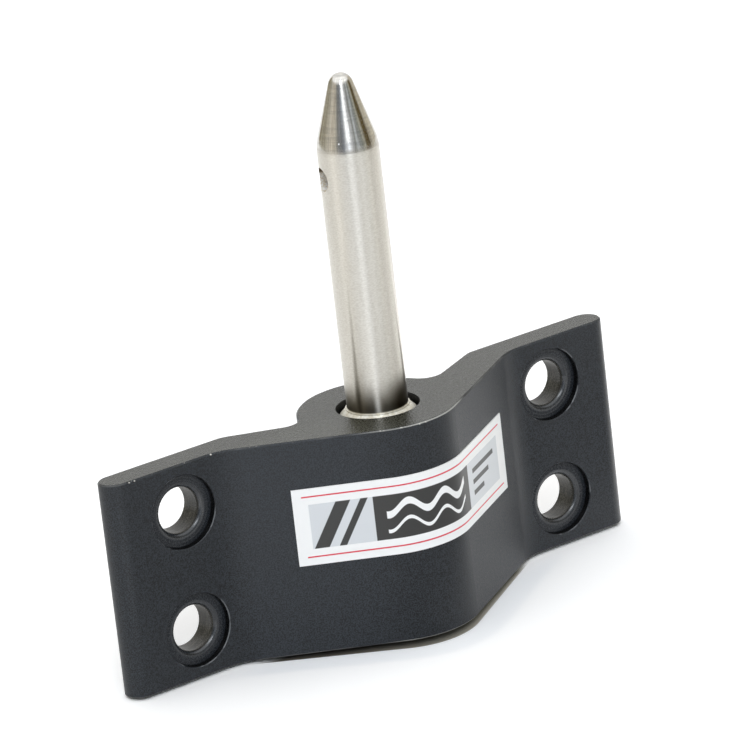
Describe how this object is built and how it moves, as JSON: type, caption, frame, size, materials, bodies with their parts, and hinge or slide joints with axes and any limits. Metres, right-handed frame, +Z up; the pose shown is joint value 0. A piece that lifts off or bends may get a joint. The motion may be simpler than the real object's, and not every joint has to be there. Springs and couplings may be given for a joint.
{
  "type": "rudder pintle",
  "caption": "Rudder pintle: an extruded bracket with screw flanges and a round boss that holds an upright bullet-nosed pin, on which a rudder's gudgeon hangs and turns.",
  "frame": {"origin": "on the pin's axis, at the flat bottom face of the bracket", "axes": "+Z up along the pin towards its tip, +X across the bracket towards the right-hand flange as seen from the nose, +Y from the nose to the transom"},
  "size_m": [0.1008, 0.0266, 0.0916],
  "materials": {
    "black_anodised_aluminium": "black hard anodised, matte with a fine grain; the sawn ends look greyer",
    "stainless_steel": "satin turned on the running length, polished on the cone",
    "label_film": "smooth white vinyl with a plain printed design"
  },
  "bodies": {
    "root": {"bracket": "black_anodised_aluminium", "pin": "stainless_steel", "label": "label_film"}
  },
  "joints": []
}
